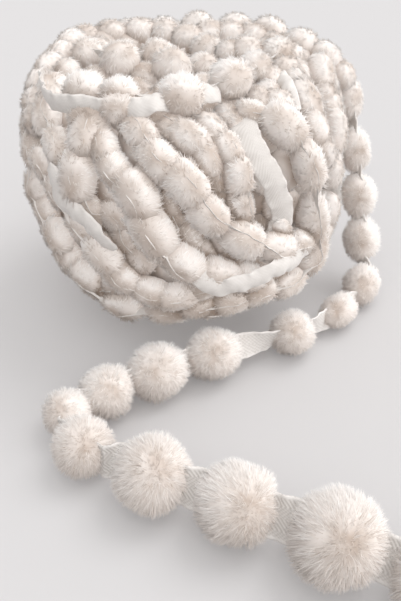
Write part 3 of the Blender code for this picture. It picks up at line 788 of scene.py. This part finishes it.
def seam_strips():
    """The tape that stands in the middle of each outer turn: its edge shows at the parting."""
    for turn in outer_turns():
        pompoms = list(turn_pompoms(turn, 0))
        if len(pompoms) < 3:
            continue
        rise, dip = SEAM_EDGE if turn.long > LOOSE_TURN else LOOSE_SEAM_EDGE
        rows = []
        for here, there in zip(pompoms, pompoms[1:] + pompoms[-1:]):
            between = unit(here.crown + there.crown)
            radius = (here.radii[1] + there.radii[1]) / 2
            rows.append((*(here.centre + here.crown * here.radii[1] * rise), *here.crown))
            rows.append((*((here.centre + there.centre) / 2 + between * radius * dip), *between))
        rows = smooth_route(rows[:-1], 6)
        across = unit(rows[:, 3:])
        yield Strip(rows[:, :3] - across * SEAM_WIDTH / 2, across, SEAM_WIDTH, **SEAM_STRIP)


# ---------------------------------------------------------------- materials

def new_material(name, roughness, sheen):
    """A material with its nodes' tree and its shader."""
    material = bpy.data.materials.new(name)
    material.use_nodes = True
    tree = material.node_tree
    shader = tree.nodes["Principled BSDF"]
    shader.inputs["Roughness"].default_value = roughness
    shader.inputs["Sheen Weight"].default_value = sheen
    shader.inputs["Sheen Roughness"].default_value = 0.4
    shader.inputs["Specular IOR Level"].default_value = 0.2
    return material, tree, shader


def colour_ramp(tree, source, stops):
    """A ramp through colours, read at a value from another node."""
    ramp = tree.nodes.new("ShaderNodeValToRGB")
    while len(ramp.color_ramp.elements) < len(stops):
        ramp.color_ramp.elements.new(0.5)
    for element, (place, colour) in zip(ramp.color_ramp.elements, stops):
        element.position = place
        element.color = (*colour, 1.0)
    tree.links.new(source, ramp.inputs["Fac"])
    return ramp.outputs["Color"]


def multiplied(tree, first, second):
    """One colour multiplied by another."""
    mix = tree.nodes.new("ShaderNodeMix")
    mix.data_type = "RGBA"
    mix.blend_type = "MULTIPLY"
    mix.inputs[0].default_value = 1.0
    tree.links.new(first, mix.inputs[6])
    tree.links.new(second, mix.inputs[7])
    return mix.outputs[2]


def plush_material(name, colours):
    """Plush pile: warmer and darker at its roots and where it parts, pale at its tips. The
    darkness is partly the pile's own colour and partly painted shade, which the map's height
    carries.
    """
    material, tree, shader = new_material(name, 0.95, 0.5)
    pile_map = tree.nodes.new("ShaderNodeUVMap")
    pile_map.uv_map = PILE_MAP
    parts = tree.nodes.new("ShaderNodeSeparateXYZ")
    tree.links.new(pile_map.outputs["UV"], parts.inputs["Vector"])
    # The ramp from root to tip is also painted shade and light: the map's height is lowered where
    # the pile is painted as shaded, which turns it towards the dark root colour.
    height = colour_ramp(tree, parts.outputs["Y"], (
        (0.0, colours.root), (0.5, colours.middle), (1.0, colours.tip)))
    # Near the parting the pile is painted darker and warmer: partly its own tone, partly painted
    # shade down into the parting.
    tone = colour_ramp(tree, parts.outputs["X"], (
        (0.0, colours.parting), (0.55, (1.0, 1.0, 1.0))))
    tree.links.new(multiplied(tree, height, tone), shader.inputs["Base Color"])
    return material


def tape_material(colours):
    """White woven tape: pale on top of its ribs, painted darker between them as painted shade in
    the grooves, and a little uneven.
    """
    material, tree, shader = new_material("white_tape", 0.62, 0.2)
    tape_map = tree.nodes.new("ShaderNodeUVMap")
    tape_map.uv_map = TAPE_MAP
    heights = tree.nodes.new("ShaderNodeAttribute")
    heights.attribute_name = RELIEF
    weave = colour_ramp(tree, heights.outputs["Fac"], (
        (0.0, colours.tape_groove), (0.55, colours.tape)))
    noise = tree.nodes.new("ShaderNodeTexNoise")
    noise.inputs["Scale"].default_value = 300.0
    tree.links.new(tape_map.outputs["UV"], noise.inputs["Vector"])
    patches = colour_ramp(tree, noise.outputs["Fac"], (
        (0.3, (0.95, 0.945, 0.94)), (0.7, (1.0, 1.0, 1.0))))
    tree.links.new(multiplied(tree, weave, patches), shader.inputs["Base Color"])
    threads = tree.nodes.new("ShaderNodeTexWave")
    threads.inputs["Scale"].default_value = 420.0
    threads.inputs["Distortion"].default_value = 1.0
    tree.links.new(tape_map.outputs["UV"], threads.inputs["Vector"])
    bump = tree.nodes.new("ShaderNodeBump")
    bump.inputs["Strength"].default_value = 0.3
    bump.inputs["Distance"].default_value = 0.2 * MM
    tree.links.new(threads.outputs["Fac"], bump.inputs["Height"])
    tree.links.new(bump.outputs["Normal"], shader.inputs["Normal"])
    return material


# ---------------------------------------------------------------- settings

def colour(name, description, default):
    """A setting that holds a colour."""
    return FloatVectorProperty(name=name, description=description, subtype="COLOR",
                               default=default, min=0.0, max=1.0)


def strength(name, description, default):
    """A setting that holds how strong a light is."""
    return FloatProperty(name=name, description=f"Strength of: {description.lower()}",
                         default=default, min=0.0)


class PlushSettings(bpy.types.PropertyGroup):
    """Sizes of the plush pile."""
    wound_hairs: IntProperty(
        name="Wound hairs", description="Hairs on each wound pompom", default=1350, min=50)
    inner_hairs: IntProperty(
        name="Inner hairs", description="Hairs on each pompom under the outer turns",
        default=230, min=20)
    hair_width: FloatProperty(
        name="Hair width", description="How wide the tufts of hair are, against their own width",
        default=1.0, min=0.1)


class ColourSettings(bpy.types.PropertyGroup):
    """Colours of the plush, the tape and the surface below."""
    # The ramp from root through middle to tip also paints shade: the root and middle colours are
    # partly the pile's warmer colour deep down, partly painted shade, and shaded pile is painted
    # towards them.
    root: colour("Pile root", "Colour of the pile at its roots", (0.34, 0.27, 0.22))
    middle: colour("Pile middle", "Colour of the pile half way up", (0.73, 0.67, 0.63))
    tip: colour("Pile tip", "Colour of the pile at its tips", (0.93, 0.915, 0.90))
    # Partly the pile's own tone, partly painted shade down into the parting.
    parting: colour("Parting", "Tint of the pile where it parts", (0.60, 0.535, 0.485))
    tape: colour("Tape", "Colour of the woven tape", (0.70, 0.67, 0.645))
    # Painted shade in the weave: the tape is painted darker between its ribs.
    tape_groove: colour("Tape grooves", "Colour of the tape between its ribs",
                        (0.50, 0.465, 0.435))
    floor: colour("Floor", "Colour of the surface below", (0.685, 0.674, 0.678))


class StageSettings(bpy.types.PropertyGroup):
    """The camera and the lights."""
    target: FloatVectorProperty(
        name="Looked at", description="The point in the middle of the view",
        default=(11 * MM, -35 * MM, 0.0), subtype="TRANSLATION", unit="LENGTH")
    distance: FloatProperty(
        name="Distance", description="From that point to the camera", default=0.5, min=0.1,
        unit="LENGTH")
    elevation: FloatProperty(
        name="Elevation", description="Of the camera above the surface",
        default=math.radians(40), subtype="ANGLE")
    lens: FloatProperty(
        name="Lens", description="Focal length on a 36 mm sensor, in millimetres",
        default=41.93, min=10.0)
    key_strength: strength("Key light", "The wide soft light from above on the right", 1.6)
    fill_strength: strength("Fill light", "The shadowless light from the same side", 1.74)
    floor_even: strength("Even floor light", "The shadowless light on the surface below", 0.78)
    floor_key: strength("Floor light", "The light that throws the trim's shadow", 0.62)
    sky: strength("Even light", "The even light from all round", 0.75)


# ---------------------------------------------------------------- operators

class TRIM_OT_core(bpy.types.Operator):
    """Add the mass of older turns deep in the ball"""
    bl_idname = "trim.core"
    bl_label = "Winding core"

    def execute(self, context):
        colours = context.scene.trim_colours
        bpy.ops.object.select_all(action="DESELECT")
        bpy.ops.mesh.primitive_ico_sphere_add(subdivisions=5, radius=1.0)
        core = context.object
        core.name = core.data.name = "winding_core"
        for vert in core.data.vertices:
            way = np.array(vert.co)
            above = way[2] > 0
            rise = CROWN_RISE - CORE_DEPTH * CORE_DIP if above else WAIST_HEIGHT - CORE_FOOT
            power = 2 / (CORE_POWER if above else BASE_POWER)
            reach = ((math.hypot(way[0], way[1]) / (WAIST_REACH - CORE_DEPTH)) ** power
                     + (abs(way[2]) / rise) ** power) ** (-1 / power)
            turns = way * CORE_WAVES
            ripple = math.sin(turns[0] + turns[2]) * math.sin(turns[1])
            ripple = 1 + CORE_RIPPLE * ripple
            vert.co = Vector(way * reach * ripple) + Vector((0, 0, WAIST_HEIGHT))
        core.data.shade_smooth()
        pile_map = core.data.uv_layers.active or core.data.uv_layers.new(name=PILE_MAP)
        pile_map.name = PILE_MAP
        # Painted shade: the core is set low on the pile's ramp, so it is painted dark as the shade
        # deep in the ball.
        for corner in pile_map.data:
            corner.uv = CORE_TONE_AND_SHADE
        core.data.materials.append(plush_material("deep_plush", colours))
        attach(core, "root")
        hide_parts(BALL_NODE)
        return {"FINISHED"}


class TRIM_OT_wound_plush(bpy.types.Operator):
    """Add the plush pompoms of the wound turns"""
    bl_idname = "trim.wound_plush"
    bl_label = "Wound pompoms"

    def execute(self, context):
        plush = context.scene.trim_plush
        material = plush_material("wound_plush", context.scene.trim_colours)
        everyone = [pompom for turns, hairs in ((outer_turns(), plush.wound_hairs),
                                                (inner_turns(), plush.inner_hairs))
                    for turn in turns for pompom in turn_pompoms(turn, hairs)]
        ball = round_ball(2)
        pile = WOUND_PILE._replace(width=WOUND_PILE.width * plush.hair_width)
        groups = {}
        for pompom in everyone:
            batches = groups.setdefault(pompom.group, [])
            near = near_ones(pompom, everyone)
            batches.append(body_shape(pompom, pile, ball, near))
            batches.append(hair_shapes(pompom, pile, near))
        for group, batches in groups.items():
            piece = joined_piece(f"wound_plush_{group}", batches, PILE_MAP, material)
            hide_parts(BALL_NODE)
        return {"FINISHED"}


class TRIM_OT_wound_tape(bpy.types.Operator):
    """Add the bare tape that shows between the wound pompoms"""
    bl_idname = "trim.wound_tape"
    bl_label = "Wound tape"

    def execute(self, context):
        material = tape_material(context.scene.trim_colours)
        batches = []
        heights = []
        for strip in (*bare_strips(), *seam_strips()):
            run = travelled(strip.route)[-1]
            wanted = np.linspace(0, run, max(3, round(run / strip.step)) + 1)
            widths = np.full(len(strip.route), strip.width)
            shape, relief = ribbon(strip.route, strip.across, widths, wanted, strip.columns,
                                   strip.ripple, strip.bulge)
            batches.append(shape)
            # Painted shade: the wound tape is painted darker than the loose tape.
            heights.append(relief * PAINTED_WOUND_SHADE)
        piece = joined_piece("wound_tape", batches, TAPE_MAP, material,
                             np.concatenate(heights))
        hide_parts(BALL_NODE)
        return {"FINISHED"}


class TRIM_OT_loose_plush(bpy.types.Operator):
    """Add the plush pompoms of the loose end"""
    bl_idname = "trim.loose_plush"
    bl_label = "Loose pompoms"

    def execute(self, context):
        plush = context.scene.trim_plush
        material = plush_material("loose_plush", context.scene.trim_colours)
        ball = round_ball(3)
        for index, (row, place) in enumerate(zip(LOOSE_END, loose_frames())):
            centre, radius, along, across, _ = place
            axes = np.array((along, across, np.cross(along, across)))
            reach = HANGING_REACH if index < HANGING else 1.0
            radii = np.array((radius * row.long * reach, radius, radius))
            pompom = Pompom(centre, axes, radii, LOOSE_ROUNDNESS, unit(row.crown), 0,
                            row.pile * 100, 100 + index, "loose", "loose")
            pile = LONG_PILE if index >= FIRST_LARGE else SHORT_PILE
            pile = pile._replace(width=pile.width * plush.hair_width)
            batches = [body_shape(pompom, pile, ball, ()), hair_shapes(pompom, pile, ())]
            piece = joined_piece(f"plush_{index + 1:02d}", batches, PILE_MAP, material)
            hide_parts(f"pompom_{index + 1:02d}")
        return {"FINISHED"}


class TRIM_OT_loose_tape(bpy.types.Operator):
    """Add the tape of the loose end"""
    bl_idname = "trim.loose_tape"
    bl_label = "Loose tape"

    def execute(self, context):
        material = tape_material(context.scene.trim_colours)
        frames = loose_frames()
        sections = []
        for index, (centre, radius, along, across, width) in enumerate(frames):
            reach_in = reach_out = radius * LOOSE_END[index].long
            if index > 0:
                gap = np.linalg.norm(centre - frames[index - 1][0])
                reach_in = min(reach_in, gap * SECTION_SHARE)
            else:
                reach_in += TOP_TAIL
            if index < len(frames) - 1:
                gap = np.linalg.norm(frames[index + 1][0] - centre)
                reach_out = min(reach_out, gap * SECTION_SHARE)
            else:
                reach_out += TAIL_LENGTH
            for reach in (-reach_in, 0.0, reach_out):
                sections.append((*(centre + along * reach), *across, width))
        sections = np.array(sections)
        route = sections[:, :3]
        travel = travelled(route)
        fine = [np.arange(0, travel[-1], ROUGH_STEP), travel[-1:]]
        for index in range(len(frames)):
            near = travel[3 * index + 1]
            far = travel[3 * index + 4] if index < len(frames) - 1 else travel[-1]
            step = FINE_STEP if index >= FIRST_LARGE - 1 else PLAIN_STEP
            hidden = IN_PILE * frames[index][1]
            fine.append(np.arange(near + hidden, far - hidden * (index < len(frames) - 1), step))
        wanted = np.unique(np.round(np.concatenate(fine), 5))
        shape, heights = ribbon(route, sections[:, 3:6], sections[:, 6], wanted, LOOSE_COLUMNS,
                                LOOSE_RIPPLE)
        piece = joined_piece("loose_tape", [shape], TAPE_MAP, material, heights)
        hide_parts("tape_end")
        length = travel[-1]
        width = float((sections[1:, 6] + sections[:-1, 6]) @ np.diff(travel) / 2 / length)
        return {"FINISHED"}


class TRIM_OT_stage(bpy.types.Operator):
    """Add the surface below, the lights and the camera"""
    bl_idname = "trim.stage"
    bl_label = "Stage"

    def execute(self, context):
        scene = context.scene
        stage = scene.trim_stage
        bpy.ops.object.select_all(action="DESELECT")
        bpy.ops.mesh.primitive_plane_add(size=FLOOR_SIZE, location=(0, 0, -FLOOR_DROP))
        floor = context.object
        floor.name = "floor"
        material, _, shader = new_material("pale_floor", 0.9, 0.0)
        shader.inputs["Base Color"].default_value = (*scene.trim_colours.floor, 1.0)
        floor.data.materials.append(material)
        for lamp in LAMPS:
            bpy.ops.object.light_add(type="SUN", location=lamp.place)
            light = context.object
            light.name = lamp.name
            light.data.energy = getattr(stage, lamp.strength)
            light.data.angle = math.radians(lamp.spread)
            light.data.use_shadow = lamp.shadow
            light.rotation_euler = (-light.location).to_track_quat("-Z", "Y").to_euler()
            reach = bpy.data.collections.new(f"{lamp.name}_reach")
            reach.objects.link(floor)
            light.light_linking.receiver_collection = reach
            if not lamp.on_floor:
                reach.collection_objects[0].light_linking.link_state = "EXCLUDE"
        world = bpy.data.worlds.new("even_light")
        world.use_nodes = True
        background = world.node_tree.nodes["Background"]
        background.inputs["Color"].default_value = (1.0, 0.99, 0.985, 1.0)
        background.inputs["Strength"].default_value = stage.sky
        scene.world = world
        target = Vector(stage.target)
        away = Vector((0, -math.cos(stage.elevation), math.sin(stage.elevation)))
        bpy.ops.object.camera_add(location=target + away * stage.distance,
                                  rotation=(-away).to_track_quat("-Z", "Y").to_euler())
        camera = context.object
        camera.data.lens = stage.lens
        scene.camera = camera
        scene.view_settings.view_transform = "Standard"
        return {"FINISHED"}


class TRIM_PT_panel(bpy.types.Panel):
    """Lists the pieces and the settings"""
    bl_idname = "TRIM_PT_panel"
    bl_label = "Pompom trim"
    bl_space_type = "VIEW_3D"
    bl_region_type = "UI"
    bl_category = "Pompom trim"

    def draw(self, context):
        column = self.layout.column()
        for operator in OPERATORS:
            column.operator(operator.bl_idname)
        for settings in (context.scene.trim_plush, context.scene.trim_colours,
                         context.scene.trim_stage):
            for name in settings.bl_rna.properties.keys():
                if name not in ("rna_type", "name"):
                    column.prop(settings, name)


OPERATORS = (TRIM_OT_core, TRIM_OT_wound_plush, TRIM_OT_wound_tape, TRIM_OT_loose_plush,
             TRIM_OT_loose_tape, TRIM_OT_stage)
SETTINGS = {"trim_plush": PlushSettings, "trim_colours": ColourSettings,
            "trim_stage": StageSettings}


def register():
    for kind in (*SETTINGS.values(), *OPERATORS, TRIM_PT_panel):
        bpy.utils.register_class(kind)
    for name, kind in SETTINGS.items():
        setattr(bpy.types.Scene, name, PointerProperty(type=kind))


def unregister():
    for name in SETTINGS:
        delattr(bpy.types.Scene, name)
    for kind in reversed((*SETTINGS.values(), *OPERATORS, TRIM_PT_panel)):
        bpy.utils.unregister_class(kind)


def main():
    register()
    bpy.ops.trim.stage()
    bpy.ops.trim.core()
    bpy.ops.trim.wound_plush()
    bpy.ops.trim.wound_tape()
    bpy.ops.trim.loose_plush()
    bpy.ops.trim.loose_tape()


if __name__ == "__main__":
    main()
